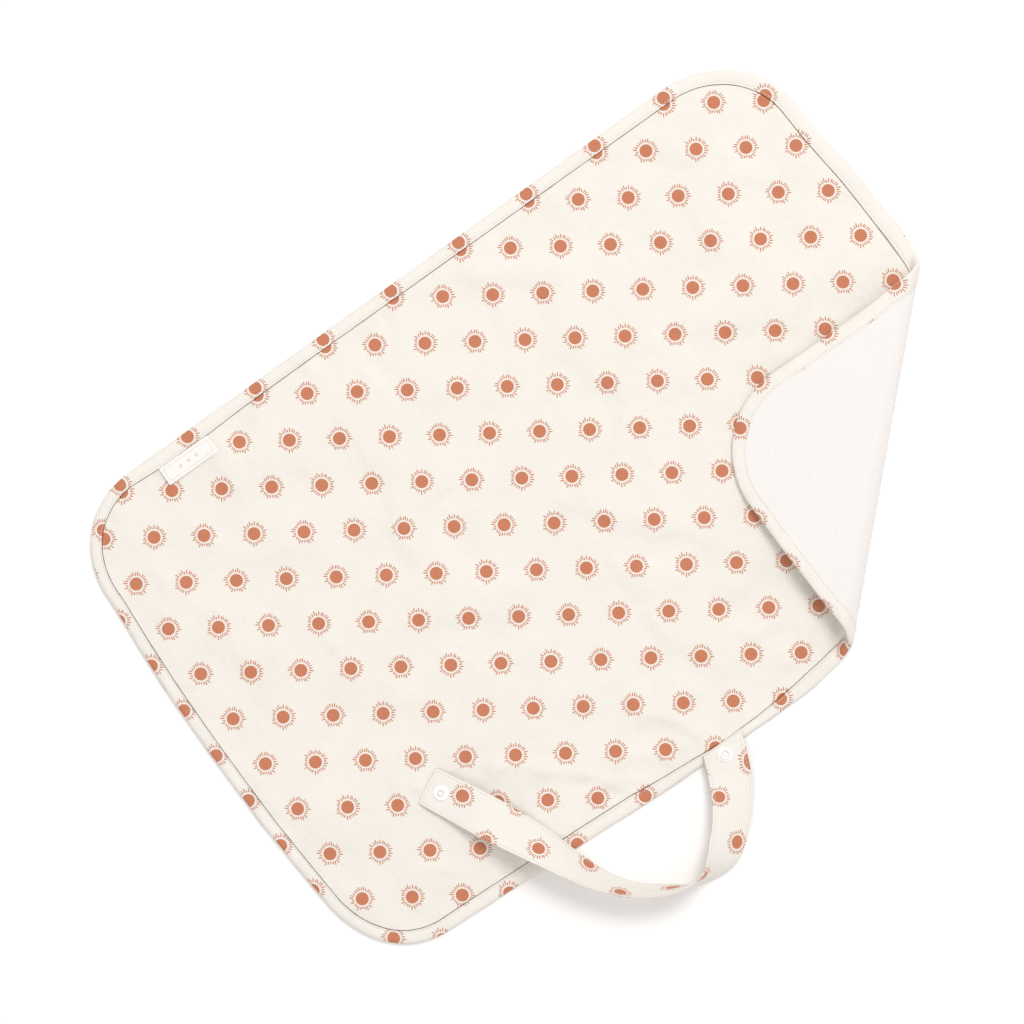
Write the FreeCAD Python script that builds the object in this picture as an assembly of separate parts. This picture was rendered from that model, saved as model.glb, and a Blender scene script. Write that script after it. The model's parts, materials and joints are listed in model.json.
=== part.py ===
import FreeCAD, Part
import math
import os

from FreeCAD import Placement, Rotation, Vector

# A padded changing mat with a bound edge, one corner turned over onto its printed face, a wrap strap
# with press snaps sewn into one long edge, and a woven label sewn into the other.
# +X runs along the pad, +Y towards the label edge, +Z up. The origin is on the underside, mid-pad.

# Pad outline: a hand-sewn pad is a little out of square. Corners are given before rounding.
PAD_CORNERS = [(-336.0, 222.0), (320.0, 225.0), (338.0, -225.0), (-334.0, -212.0)]
CORNER_RADIUS = 72.0

# Layers, from the underside up
FLEECE_TOP = 1.5
WADDING_TOP = 3.3
FACE_TOP = 3.9

# Binding: a strip folded round the edge, with a row of topstitching near its inner edge
BINDING_WIDTH = 11.0
BINDING_THICKNESS = 0.7
BINDING_TOP = FACE_TOP + BINDING_THICKNESS
LAYER_INSET = BINDING_THICKNESS
STITCH_INSET = 9.2
STITCH_WIDTH = 0.5
STITCH_HEIGHT = 0.3

# Fold lines across the pad: the ends fold under, fleece to fleece
LEFT_FOLD_X = -138.0
RIGHT_FOLD_X = 72.0
FOLD_GAP = 0.6

# The turned corner: three fold lines fan from the strap edge to the right edge, each bending alike
CURL_STRAP_EDGE_X = [95.0, 116.0, 137.0]
CURL_RIGHT_EDGE_Y = [10.0, -3.0, -16.0]
CURL_BEND = 62.6
CURL_GAP = 2.0
STRAP_EDGE_Y = -225.0
RIGHT_EDGE_X = 338.0
MID_HEIGHT = BINDING_TOP / 2

# Strap: the middle of its width at each bend, from the seam to the tip, and the roll of each run
# about its length (0 lies flat, 90 stands on its outer edge, 180 lies flat the other way up)
STRAP_ROUTE = [
    (-7.0, -216.0, 7.2),
    (-21.0, -251.0, 8.0),
    (-42.0, -278.0, 11.2),
    (-66.0, -293.0, 17.2),
    (-90.0, -295.0, 18.0),
    (-127.0, -275.0, 18.0),
    (-150.0, -245.0, 18.4),
    (-167.0, -205.0, 19.9),
    (-187.0, -164.0, 13.4),
    (-214.0, -111.0, 7.1),
]
STRAP_ROLLS = [4.0, 22.0, 36.0, 74.0, 100.0, 112.0, 130.0, 154.0, 180.0]
STRAP_WIDTH = 34.0
STRAP_THICKNESS = 1.6
STRAP_GAP = 0.8

# Press snaps, size 20: a cap whose post passes through the strap into a socket or a stud
SNAP_RADIUS = 6.2
SNAP_CAP_THICKNESS = 1.2
SNAP_FLANGE_THICKNESS = 1.0
SNAP_POST_RADIUS = 1.8
SNAP_POST_CLEARANCE = 0.05
SNAP_FROM_SEAM = 10.5
SNAP_FROM_TIP = 12.5
SOCKET_RING_OUTER = 4.2
SOCKET_RING_INNER = 2.8
SOCKET_HEIGHT = 2.6
STUD_RADIUS = 2.6
STUD_HEIGHT = 3.2
SNAP_EDGE = 0.35

# Woven label, sewn in along its upper long edge
LABEL_X = (-242.0, -196.0)
LABEL_Y = (195.5, 211.0)
LABEL_Z = (4.7, 5.2)

FAR = 600.0


def save(node, shape):
    shape.exportStep(os.path.join("parts", node + ".step"))


def inset_corners(inset):
    """The outline's sharp corners after every side has moved inwards."""
    count = len(PAD_CORNERS)
    sides = []
    for i in range(count):
        start = Vector(*PAD_CORNERS[i], 0)
        along = (Vector(*PAD_CORNERS[(i + 1) % count], 0) - start).normalize()
        inwards = Vector(along.y, -along.x, 0)
        sides.append((start + inwards * inset, along))
    corners = []
    for i in range(count):
        (p, a), (q, b) = sides[i - 1], sides[i]
        cross = a.x * b.y - a.y * b.x
        step = ((q.x - p.x) * b.y - (q.y - p.y) * b.x) / cross
        corners.append(p + a * step)
    return corners


def rounded_outline(inset):
    corners = inset_corners(inset)
    radius = CORNER_RADIUS - inset
    count = len(corners)
    rounds = []
    for i, corner in enumerate(corners):
        back = (corners[i - 1] - corner).normalize()
        on = (corners[(i + 1) % count] - corner).normalize()
        half_angle = back.getAngle(on) / 2
        reach = radius / math.tan(half_angle)
        middle = (back + on).normalize()
        apex = corner + middle * (radius / math.sin(half_angle) - radius)
        rounds.append((corner + back * reach, apex, corner + on * reach))
    edges = []
    for i, (first, apex, last) in enumerate(rounds):
        edges.append(Part.Arc(first, apex, last).toShape())
        edges.append(Part.LineSegment(last, rounds[(i + 1) % count][0]).toShape())
    return Part.Wire(edges)


def slab(inset, low, high):
    face = Part.Face(rounded_outline(inset))
    face.translate(Vector(0, 0, low))
    return face.extrude(Vector(0, 0, high - low))


def ring(outer_inset, inner_inset, low, high):
    return slab(outer_inset, low, high).cut(slab(inner_inset, low - 1, high + 1))


def region(points):
    """A tall prism over a plan polygon, used to cut the flat pad into its folding parts."""
    wire = Part.makePolygon([Vector(x, y, -FAR) for x, y in points + points[:1]])
    return Part.Face(wire).extrude(Vector(0, 0, 2 * FAR))


def curl_line(index):
    """One fold line of the turned corner in the flat pad: a point on it and its direction."""
    start = Vector(CURL_STRAP_EDGE_X[index], STRAP_EDGE_Y, MID_HEIGHT)
    end = Vector(RIGHT_EDGE_X, CURL_RIGHT_EDGE_Y[index], MID_HEIGHT)
    return start, (end - start).normalize()


def beyond_curl_line(index, gap):
    """The plan region on the corner's side of a fold line, starting a gap past it."""
    point, along = curl_line(index)
    outwards = Vector(along.y, -along.x, 0)
    near = point + outwards * gap
    ends = [near - along * FAR, near + along * FAR]
    ends += [ends[1] + outwards * FAR, ends[0] + outwards * FAR]
    return region([(p.x, p.y) for p in ends])


def pad_regions():
    """Each folding part's share of the flat pad."""
    left_end = LEFT_FOLD_X - FOLD_GAP
    middle = (LEFT_FOLD_X + FOLD_GAP, RIGHT_FOLD_X - FOLD_GAP)
    right_start = RIGHT_FOLD_X + FOLD_GAP

    def upright(x_low, x_high):
        return region([(x_low, -FAR), (x_high, -FAR), (x_high, FAR), (x_low, FAR)])

    return {
        "left": upright(-FAR, left_end),
        "centre": upright(*middle),
        "right": upright(right_start, FAR).cut(beyond_curl_line(0, -CURL_GAP)),
        "curl_1": beyond_curl_line(0, CURL_GAP).cut(beyond_curl_line(1, -CURL_GAP)),
        "curl_2": beyond_curl_line(1, CURL_GAP).cut(beyond_curl_line(2, -CURL_GAP)),
        "corner": beyond_curl_line(2, CURL_GAP),
    }


def turn(point, axis, degrees):
    """The placement that turns things about an axis through a point."""
    return Placement(Vector(0, 0, 0), Rotation(axis, degrees), point)


def curl_placements():
    """How the curl's two strips and the turned corner leave the flat pad."""
    placed = Placement()
    result = []
    for index in range(3):
        point, along = curl_line(index)
        placed = placed.multiply(turn(point, along, -CURL_BEND))
        result.append(placed)
    return dict(zip(["curl_1", "curl_2", "corner"], result))


def pad_layers():
    """The whole pad, flat and uncut: each layer with its name."""
    binding = ring(0, BINDING_WIDTH, 0, BINDING_TOP)
    channel = slab(BINDING_THICKNESS, BINDING_THICKNESS, FACE_TOP)
    binding = binding.cut(channel)
    fleece = slab(LAYER_INSET, 0, FLEECE_TOP).cut(binding)
    stitch_inner = STITCH_INSET + STITCH_WIDTH
    return {
        "fleece_back": fleece,
        "wadding": slab(LAYER_INSET, FLEECE_TOP, WADDING_TOP),
        "printed_face": slab(LAYER_INSET, WADDING_TOP, FACE_TOP),
        "binding": binding,
        "topstitching": ring(STITCH_INSET, stitch_inner, BINDING_TOP, BINDING_TOP + STITCH_HEIGHT),
    }


def edge_names(layer, part, count):
    """Where a part holds the binding in two lengths, each has its own name."""
    if count == 1 or layer == "topstitching":
        return [layer + "_" + part]
    far_edge = "side_edge" if part.startswith("curl") else "label_edge"
    return ["_".join([layer, part, "strap_edge"]), "_".join([layer, part, far_edge])]


def make_pad():
    placements = curl_placements()
    layers = pad_layers()
    for part, share in pad_regions().items():
        for layer, whole in layers.items():
            if layer == "topstitching" and part.startswith("curl"):
                continue
            piece = whole.common(share)
            solids = sorted(piece.Solids, key=lambda solid: solid.CenterOfMass.y)
            names = edge_names(layer, part, len(solids))
            groups = [solids] if len(names) == 1 else [[solid] for solid in solids]
            for name, group in zip(names, groups):
                shape = group[0] if len(group) == 1 else Part.makeCompound(group)
                if part in placements:
                    shape = shape.transformGeometry(placements[part].toMatrix())
                save(name, shape)


def strap_frame(index):
    """A run's start and its unit directions: along, towards its outer edge, and out of its top."""
    start = Vector(*STRAP_ROUTE[index])
    along = (Vector(*STRAP_ROUTE[index + 1]) - start).normalize()
    level = along.cross(Vector(0, 0, 1)).normalize()
    up = level.cross(along)
    roll = math.radians(STRAP_ROLLS[index])
    inner = level * math.cos(roll) + up * math.sin(roll)
    return start, along, inner * -1, inner.cross(along)


def strap_placement(index):
    start, along, outer, top = strap_frame(index)
    return Placement(start, Rotation(along, outer, top, "XYZ"))


def strap_length(index):
    return (Vector(*STRAP_ROUTE[index + 1]) - Vector(*STRAP_ROUTE[index])).Length


def mitre(bend, side):
    """The space to one side of the plane that halves a bend of the strap, with clearance."""
    before = strap_frame(bend - 1)[1]
    at, after = strap_frame(bend)[:2]
    normal = (before + after).normalize() * side
    box = Part.makeBox(FAR, FAR, FAR, Vector(-FAR / 2, -FAR / 2, STRAP_GAP))
    box.Placement = Placement(at, Rotation(Vector(0, 0, 1), normal))
    return box


def snap_hole(along):
    radius = SNAP_POST_RADIUS + SNAP_POST_CLEARANCE
    return Part.makeCylinder(radius, 4 * STRAP_THICKNESS, Vector(along, 0, -2 * STRAP_THICKNESS))


def make_strap():
    last = len(STRAP_ROLLS) - 1
    for index in range(len(STRAP_ROLLS)):
        length = strap_length(index)
        start = 0 if index == 0 else STRAP_GAP
        end = length if index == last else length - STRAP_GAP
        corner = Vector(start, -STRAP_WIDTH / 2, -STRAP_THICKNESS / 2)
        run = Part.makeBox(end - start, STRAP_WIDTH, STRAP_THICKNESS, corner)
        if index == 0:
            run = run.cut(snap_hole(SNAP_FROM_SEAM))
        if index == last:
            run = run.cut(snap_hole(length - SNAP_FROM_TIP))
        run.Placement = strap_placement(index)
        if index > 0:
            run = run.common(mitre(index, 1))
        if index < last:
            run = run.common(mitre(index + 1, -1))
        save("strap_run_" + str(index + 1), run.Solids[0])


def revolved(profile):
    """A solid of revolution about +Z from (radius, height) points."""
    points = [Vector(radius, 0, height) for radius, height in profile]
    return Part.Face(Part.makePolygon(points + points[:1])).revolve(Vector(), Vector(0, 0, 1), 360)


def snap_cap():
    """A flat-bottomed disc with a rounded-off rim and a post, seen from the strap's other side."""
    seat = -STRAP_THICKNESS / 2
    bottom = seat - SNAP_CAP_THICKNESS
    tip = STRAP_THICKNESS / 2 + SNAP_FLANGE_THICKNESS + SNAP_EDGE
    return revolved([
        (0, bottom),
        (SNAP_RADIUS - 2 * SNAP_EDGE, bottom),
        (SNAP_RADIUS, bottom + 2 * SNAP_EDGE),
        (SNAP_RADIUS, seat),
        (SNAP_POST_RADIUS, seat),
        (SNAP_POST_RADIUS, tip),
        (0, tip + SNAP_EDGE),
    ])


def snap_flange(upper_profile):
    """A flange on the strap with a bore for the post, and a ring or stud standing on it."""
    seat = STRAP_THICKNESS / 2
    flange = seat + SNAP_FLANGE_THICKNESS
    bore = SNAP_POST_RADIUS + SNAP_POST_CLEARANCE
    profile = [
        (bore, seat),
        (SNAP_RADIUS - SNAP_EDGE, seat),
        (SNAP_RADIUS, seat + SNAP_EDGE),
        (SNAP_RADIUS, flange - SNAP_EDGE),
        (SNAP_RADIUS - SNAP_EDGE, flange),
    ]
    profile += [(radius, seat + height) for radius, height in upper_profile]
    return revolved(profile + [(bore, flange)])


def snap_socket():
    low = SNAP_FLANGE_THICKNESS
    return snap_flange([
        (SOCKET_RING_OUTER + SNAP_EDGE, low),
        (SOCKET_RING_OUTER, low + SNAP_EDGE),
        (SOCKET_RING_OUTER, SOCKET_HEIGHT - SNAP_EDGE),
        (SOCKET_RING_OUTER - SNAP_EDGE, SOCKET_HEIGHT),
        (SOCKET_RING_INNER + SNAP_EDGE, SOCKET_HEIGHT),
        (SOCKET_RING_INNER, SOCKET_HEIGHT - SNAP_EDGE),
        (SOCKET_RING_INNER, low),
    ])


def snap_stud():
    low = SNAP_FLANGE_THICKNESS
    bore = SNAP_POST_RADIUS + SNAP_POST_CLEARANCE
    return snap_flange([
        (STUD_RADIUS + SNAP_EDGE, low),
        (STUD_RADIUS, low + SNAP_EDGE),
        (STUD_RADIUS, STUD_HEIGHT - 2 * SNAP_EDGE),
        (STUD_RADIUS - SNAP_EDGE, STUD_HEIGHT),
        (bore, STUD_HEIGHT - SNAP_EDGE),
    ])


def make_snaps():
    """The socket faces up by the seam. The stud is on the strap's other face, by its tip."""
    by_seam = strap_placement(0).multiply(Placement(Vector(SNAP_FROM_SEAM, 0, 0), Rotation()))
    last = len(STRAP_ROLLS) - 1
    from_start = strap_length(last) - SNAP_FROM_TIP
    flipped = Rotation(Vector(1, 0, 0), 180)
    by_tip = strap_placement(last).multiply(Placement(Vector(from_start, 0, 0), flipped))
    for node, shape, place in [
        ("snap_base_cap", snap_cap(), by_seam),
        ("snap_base_socket", snap_socket(), by_seam),
        ("snap_tip_cap", snap_cap(), by_tip),
        ("snap_tip_stud", snap_stud(), by_tip),
    ]:
        shape.Placement = place
        save(node, shape)


def make_label():
    size = [high - low for low, high in (LABEL_X, LABEL_Y, LABEL_Z)]
    save("woven_label", Part.makeBox(*size, Vector(LABEL_X[0], LABEL_Y[0], LABEL_Z[0])))


def main():
    os.makedirs("parts", exist_ok=True)
    make_pad()
    make_strap()
    make_snaps()
    make_label()


main()
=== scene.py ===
"""Looks of the changing mat: its cloth, fleece, binding, stitches, strap, snaps and label.

The pad is made flat, as it is sewn, and the corner is then turned over about the CAD joints' axes.
The strap is made straight and laid along the CAD runs.
"""
import json
import math

import bmesh
import bpy
import numpy as np
from mathutils import Matrix, Vector, noise


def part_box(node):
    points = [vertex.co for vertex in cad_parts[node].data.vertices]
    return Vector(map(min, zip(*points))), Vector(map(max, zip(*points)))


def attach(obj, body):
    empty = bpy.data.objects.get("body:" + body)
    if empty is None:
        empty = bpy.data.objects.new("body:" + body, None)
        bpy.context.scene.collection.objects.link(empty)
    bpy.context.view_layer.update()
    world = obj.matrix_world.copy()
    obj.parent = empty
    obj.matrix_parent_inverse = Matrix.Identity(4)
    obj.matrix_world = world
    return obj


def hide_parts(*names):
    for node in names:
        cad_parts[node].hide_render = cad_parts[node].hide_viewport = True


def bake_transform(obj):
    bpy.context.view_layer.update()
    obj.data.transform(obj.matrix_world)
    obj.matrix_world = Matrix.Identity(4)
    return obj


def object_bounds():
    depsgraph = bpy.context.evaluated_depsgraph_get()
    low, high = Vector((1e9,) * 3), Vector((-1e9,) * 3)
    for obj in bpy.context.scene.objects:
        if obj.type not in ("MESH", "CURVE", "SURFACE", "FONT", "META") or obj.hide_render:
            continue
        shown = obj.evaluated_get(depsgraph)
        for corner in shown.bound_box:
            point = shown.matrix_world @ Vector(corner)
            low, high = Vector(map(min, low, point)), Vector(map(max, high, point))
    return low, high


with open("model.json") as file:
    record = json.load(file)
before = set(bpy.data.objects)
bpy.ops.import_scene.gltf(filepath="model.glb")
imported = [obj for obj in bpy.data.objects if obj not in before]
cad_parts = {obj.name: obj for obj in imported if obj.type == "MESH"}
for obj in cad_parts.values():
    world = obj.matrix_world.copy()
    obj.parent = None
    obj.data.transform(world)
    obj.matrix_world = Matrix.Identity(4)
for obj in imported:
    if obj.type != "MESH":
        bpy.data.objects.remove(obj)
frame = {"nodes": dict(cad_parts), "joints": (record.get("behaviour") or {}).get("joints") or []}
CAD_LOW, CAD_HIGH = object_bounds()
JOINTS = {joint["name"]: joint for joint in frame["joints"]}

MM = 0.001

# The pad's outline, as in the CAD
PAD_CORNERS = np.array([(-336, 222), (320, 225), (338, -225), (-334, -212)]) * MM
CORNER_RADIUS = 72 * MM
EDGE_STEP = 2 * MM
BINDING_WIDTH = 11 * MM
FACE_HEIGHT = 3.9 * MM
STITCH_INSET = 9.45 * MM
STITCH_PITCH = 2.9 * MM
STITCH_LENGTH = 2.1 * MM
STITCH_WIDTH = 0.55 * MM
STITCH_RISE = 0.34 * MM
STITCH_SIDES = 6
STITCH_RINGS = 5
STITCH_FACES = (STITCH_RINGS - 1) * STITCH_SIDES
FACE_GRID = 2.5 * MM
BACK_GRID = 4 * MM
CLOTH_RIM = 12.6 * MM
# The binding's section from its top inner edge round to its underside: (how far in, how high)
BINDING_PROFILE = np.array([
    (11.0, 3.6), (11.25, 4.1), (11.05, 4.55), (10.55, 4.7), (10.0, 4.55), (9.45, 4.05),
    (8.9, 4.42), (8.0, 4.68), (6.6, 4.76), (5.0, 4.76), (3.4, 4.68), (2.0, 4.4), (0.95, 3.85),
    (0.25, 3.1), (0.0, 2.3), (0.25, 1.5), (0.95, 0.8), (2.0, 0.3), (3.4, 0.1), (5.0, 0.02),
    (6.6, 0.02), (8.0, 0.06), (8.9, 0.16), (9.45, 0.3), (10.0, 0.12), (10.6, 0.04), (11.1, 0.2),
    (11.0, 0.6),
]) * MM
BINDING_MIDDLE = 2.3 * MM
BINDING_UNDER = 2 * MM
GATHER_LIFT = 0.2
LENGTHWISE_FOLD = 0.16
BINDING_WANDER = 0.2 * MM
# The printed face dips into the seam beside the binding: (how far in, how deep)
SEAM_DIP = np.array([(12.0, 0.15), (11.65, 0.55), (11.45, 1.5), (11.0, 2.1), (8.0, 2.3)]) * MM

# How far each side bows out beyond a straight line: (X or Y of the place, outward shift)
RIGHT_BOW = [
    (-225, 0), (-130, 1), (-60, 3), (0, 9), (35, 10), (82, 9.5), (130, 5.5), (175, 4.5),
    (200, 3.5), (225, 1),
]
STRAP_BOW = [
    (-334, 0), (-263, 0), (-123, 3.3), (-76, 5.2), (-7, 5), (40, 4.8), (68, 4.5), (90, 1.5), (116, -3),
    (166, -1), (215, 0), (250, 0), (338, 0),
]
LEFT_BOW = [
    (-212, -1.5), (-176, -4.4), (-152, -4), (-105, -0.6), (-60, 2), (0, 2.7), (55, 2.4), (100, 0.3),
    (148, -3.6), (180, -2.6), (222, -0.5),
]
BOW_REACH = 95 * MM
BOW_SOFT = 12
# The shift of the binding's print on the turned corner against the print below it
UNDER_PRINT_SHIFT = (-1.7, -2.6)

# The binding's width by place round the edge, and its own print's shift there:
# (X, Y, share of the full width, shift in X, shift in Y)
BINDING_PLACES = [
    (-100, 222, 0.9, 2, 5.5), (150, 224, 0.94, 2, 5.5), (320, 200, 1.0, 3, 3), (328, 60, 1.1, 3.8, -0.8),
    (335, -120, 1.05, 3.8, -0.8), (200, -222, 1.0, -1.5, 1.5), (75, -219, 1.02, -1.5, 1.5),
    (28, -219, 0.66, -1.5, 1.5), (-7, -218, 0.58, -1.5, 1.5), (-42, -217, 0.74, -1.5, 1.5),
    (-90, -217, 1.0, -1.5, 1.5), (-250, -214, 0.95, -1.5, 1.5),
    (-334, -150, 0.8, 5, 6), (-335, 60, 0.82, 5, 6), (-325, 200, 0.76, 4, 6), (-268, 222, 0.86, 2, 5.5),
    (-240, 222, 1.02, 2, 5.5), (-195, 222, 1.02, 2, 5.5), (-160, 222, 0.92, 2, 5.5),
]

# Where the pieces of one cloth meet, clear of every fold
LEFT_BORDER_X = -33 * MM
TURN_BORDER_X = 82 * MM
FOLD_MIDDLE = 0.17
SWELL_CAP = 1.3 * MM
SWELL_GRID = 9 * MM
SWELL_FRAMES = 20
TURNS = ["corner_turn", "corner_turn_2", "corner_turn_3"]
TURN_SPREAD = 1.5
REGIONS = {
    "left_part": ["left", "centre"],
    "right_part": ["right"],
    "turn_1": ["curl_1"],
    "turn_2": ["curl_2"],
    "turned_corner": ["corner"],
}
# Each layer, and the CAD layers that it stands for
LAYERS = {
    "printed_face": ["printed_face", "wadding"],
    "fleece_back": ["fleece_back"],
    "binding": ["binding"],
    "topstitching": ["topstitching"],
}

# Strap, as in the CAD
STRAP_TIP = (-0.214, -0.111, 0.0071)
STRAP_ROLLS = [4, 22, 36, 74, 100, 112, 130, 154, 180]
STRAP_WIDTH = 34 * MM
STRAP_THICKNESS = 1.6 * MM
STRAP_STEP = 2 * MM
STRAP_HEM = 2.3 * MM
STRAP_PITCH = 2.7 * MM
STRAP_END_RADIUS = 3 * MM
STRAP_TAPER = 0.07
STRAP_TAPER_LENGTH = 60 * MM
# It comes out of the seam beside the printed face, askew
STRAP_ROOT = 0.55 * MM
STRAP_SKEW = -0.4
STRAP_SKEW_REACH = 26 * MM
STRAP_DIP = 5.0 * MM
STRAP_DIP_LENGTH = 2.2 * MM
STRAP_ROOT_REACH = 4 * MM
STRAP_CUP = 0.35 * MM
STRAP_CREASE = 0.22 * MM

# The print's shift along and across the strap's top, by the place along it
STRAP_PRINT_SHIFTS = np.array([
    (0, 53.2, -3.7), (28, 53.2, -3.7), (33, 43.6, -11.2), (53, 43.6, -11.2), (62, 44.6, -13.2),
    (87, 44.6, -13.2), (95, 49.6, -10.7), (400, 49.6, -10.7),
]) * MM
# The underside's print: a sun's place from the tip and the middle, and the print's turn
STRAP_BACK_SUN = (28.2 * MM, -5.6 * MM)
STRAP_BACK_TURN = math.radians(-20)

# Print: suns on a slightly skewed lattice, in flat cloth
PRINT_ORIGIN = np.array([-308.1, 148.2]) * MM
PRINT_STEPS = np.array([[64.96, 32.59], [0.24, -21.45]])
PRINT_CELL = (64.96, 43.0)
SUN_DISC = 5.1
SUN_RING = 6.25
SUN_TIP = 10.5
SUN_RAYS = 26

# The printed face's relief: it crowns away from the seam, which pulls it into gathers
CROWN = 0.7 * MM
CROWN_REACH = 26 * MM
PULL_REACH = 9 * MM
GATHER_HEIGHT = 0.6 * MM
SEAM_CREASES = 150
BROAD_WAVE = 0.35 * MM
FINE_WAVE = 0.16 * MM
# Long soft folds in the printed face: (start, end, width, height) in millimetres of the flat pad
RIDGES = [
    ((-240, -95), (-216, -112), 7, 1.8), ((-246, -92), (-222, -106), 5, -0.9),
    ((-170, -128), (-128, -160), 6, 2.2), ((-150, -148), (-92, -198), 6, 1.8),
    ((-128, -172), (-95, -205), 5, -1.2), ((-118, -186), (-72, -205), 5, 1.5),
    ((-196, -182), (-150, -206), 6, 1.4), ((-262, -158), (-222, -196), 6, 1.3),
    ((-86, -178), (-44, -205), 6, 1.7), ((-60, -170), (-22, -200), 5, -0.9),
    ((-48, -160), (-18, -206), 5, 1.3), ((26, -160), (6, -205), 6, 1.2),
    ((104, -172), (66, -196), 8, 2.2), ((88, -180), (58, -204), 5, -0.9),
    ((-290, -120), (-262, -40), 20, 1.2), ((-330, 60), (-240, 30), 16, 1.2),
    ((-322, 120), (-262, 96), 10, 0.9), ((-190, 205), (-205, 160), 8, 1.3),
    ((-60, 205), (-30, 120), 16, 1.1), ((40, 208), (48, 150), 9, 1.0),
    ((150, 208), (190, 110), 20, 1.3), ((250, 205), (262, 150), 10, 1.1), ((318, 120), (250, 96), 12, 1.2),
    ((250, 60), (180, 0), 22, 1.4), ((322, 40), (262, 12), 10, 1.3), ((-20, 60), (60, -10), 30, 1.2),
    ((-150, 20), (-70, -60), 28, 1.2), ((100, -60), (150, -110), 18, 1.2),
    ((-250, 150), (-180, 110), 22, 1.0),
]

LABEL_LIFT = 1.2 * MM
LABEL_WAVE = 0.2 * MM

# What the camera sees: the middle and width of the view at the floor, and its turn
VIEW_MIDDLE = (-0.0368, 0.0243)
VIEW_WIDTH = 0.799
VIEW_TURN = -35.4
FLOOR_HALF = 6
FLOOR_DROP = 0.3 * MM

# Colours, linear
CREAM = (0.825, 0.788, 0.728)
BINDING_CREAM = (0.83, 0.797, 0.745)
FLEECE_WHITE = (0.865, 0.835, 0.82)
TERRACOTTA = (0.545, 0.195, 0.105)
THREAD_WHITE = (0.77, 0.74, 0.68)
SNAP_WHITE = (0.93, 0.925, 0.91)


# ---------------------------------------------------------------- geometry helpers


def smoothstep(value):
    value = np.clip(value, 0, 1)
    return value * value * (3 - 2 * value)


def swung(points, pivot, axis, angles):
    """Points turned about an axis, each by its own angle."""
    arm = points - pivot
    cosine = np.cos(angles)[:, None]
    sine = np.sin(angles)[:, None]
    along = (arm @ axis)[:, None] * axis
    return pivot + arm * cosine + np.cross(axis, arm) * sine + along * (1 - cosine)


def joint_line(name):
    """A hinge's pivot, unit axis and full travel."""
    joint = JOINTS[name]
    axis = np.array(joint["axis"], float)
    travel = math.radians(joint["range_deg"][1])
    return np.array(joint["pos_m"], float), axis / np.linalg.norm(axis), travel


def noise_at(points, scale, seed):
    """Smooth noise from about -1 to 1 at each point."""
    shift = Vector((seed * 7.31, seed * 3.17, seed * 1.93))
    return np.array([noise.noise(Vector(p) / scale + shift) for p in points])


def new_mesh(name, vertices, faces):
    mesh = bpy.data.meshes.new(name)
    mesh.from_pydata([tuple(v) for v in vertices], [], [tuple(int(i) for i in f) for f in faces])
    mesh.update()
    return mesh


def new_object(name, data):
    piece = bpy.data.objects.new(name, data)
    bpy.context.scene.collection.objects.link(piece)
    return piece


def positions(mesh):
    flat = np.empty(len(mesh.vertices) * 3, np.float32)
    mesh.vertices.foreach_get("co", flat)
    return flat.reshape(-1, 3).astype(float)


# ---------------------------------------------------------------- the pad's outline


def side_normals():
    along = np.roll(PAD_CORNERS, -1, axis=0) - PAD_CORNERS
    along /= np.linalg.norm(along, axis=1)[:, None]
    return np.column_stack([-along[:, 1], along[:, 0]])


def corner_centres():
    """The centres of the rounded corners."""
    normals = side_normals()
    before = np.roll(normals, 1, axis=0)
    middle = normals + before
    reach = CORNER_RADIUS * 2 / (middle**2).sum(1)
    return PAD_CORNERS - middle * reach[:, None]


SIDE_NORMALS = side_normals()
CENTRES = corner_centres()


def outline():
    """Even steps round the pad's edge, clockwise, and the normals that point out of it."""
    points, normals = [], []
    for i, centre in enumerate(CENTRES):
        start = math.atan2(*SIDE_NORMALS[i - 1][::-1])
        end = math.atan2(*SIDE_NORMALS[i][::-1])
        turn = (start - end) % (2 * math.pi)
        for angle in start - np.linspace(0, turn, 200):
            normals.append((math.cos(angle), math.sin(angle)))
            points.append(centre + CORNER_RADIUS * np.array(normals[-1]))
    points, normals = np.array(points), np.array(normals)
    closed = np.vstack([points, points[:1]])
    run = np.concatenate([[0], np.cumsum(np.linalg.norm(np.diff(closed, axis=0), axis=1))])
    count = int(run[-1] / EDGE_STEP)
    stations = np.arange(count) * run[-1] / count
    even = [np.interp(stations, run, closed[:, axis]) for axis in (0, 1)]
    wrapped = np.vstack([normals, normals[:1]])
    out = np.column_stack([np.interp(stations, run, wrapped[:, axis]) for axis in (0, 1)])
    out /= np.linalg.norm(out, axis=1)[:, None]
    return np.column_stack(even), out, run[-1]


EDGE, EDGE_OUT, EDGE_LENGTH = outline()
EDGE_RUN = np.arange(len(EDGE)) * EDGE_LENGTH / len(EDGE)


def inset_of(points):
    """How far in from the pad's edge each plan point lies."""
    nearest = np.full(len(points), 1e9)
    deepest = np.full(len(points), -1e9)
    for i, start in enumerate(CENTRES):
        side = CENTRES[(i + 1) % len(CENTRES)] - start
        length = np.linalg.norm(side)
        along = side / length
        reach = np.clip((points - start) @ along, 0, length)
        nearest = np.minimum(nearest, np.linalg.norm(points - start - reach[:, None] * along, axis=1))
        deepest = np.maximum(deepest, (points - start) @ SIDE_NORMALS[i])
    return CORNER_RADIUS - np.where(deepest > 0, nearest, -nearest)


def nearest_edge(points):
    """Each plan point's nearest station on the edge."""
    found = []
    for chunk in np.array_split(points, max(1, len(points) // 2000)):
        gaps = ((chunk[:, None, :] - EDGE[None, :, :]) ** 2).sum(2)
        found.append(gaps.argmin(1))
    return np.concatenate(found)


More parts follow.
